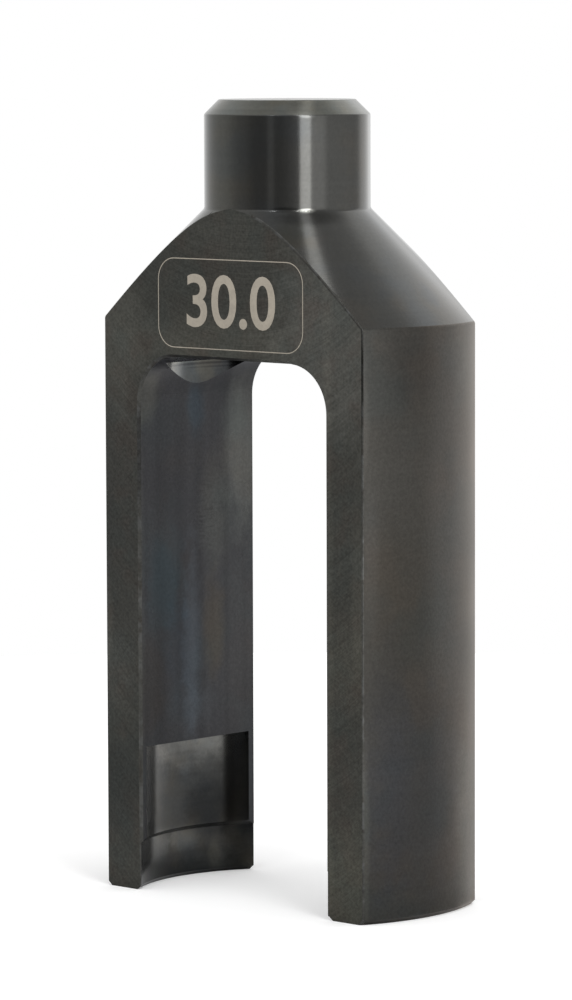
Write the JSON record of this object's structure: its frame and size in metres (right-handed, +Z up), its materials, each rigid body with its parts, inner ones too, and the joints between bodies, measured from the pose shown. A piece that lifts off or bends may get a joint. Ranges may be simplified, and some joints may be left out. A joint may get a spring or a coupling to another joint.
{
  "type": "crown race remover",
  "caption": "Solid steel crown race remover: round striking boss on a conical shoulder, above a flat-sided barrel slotted into long legs with a stepped bore at their tips.",
  "frame": {"origin": "on the bar's axis, in the plane of the leg tips' end faces", "axes": "+Z up along the bar to the striking end, +X across the slot from leg to leg, +Y through the slot from the front flat to the back flat"},
  "size_m": [0.05, 0.0214, 0.103],
  "materials": {
    "blackened_steel": "black oxide over turned and milled steel"
  },
  "bodies": {
    "root": {"remover_body": "blackened_steel"}
  },
  "joints": []
}
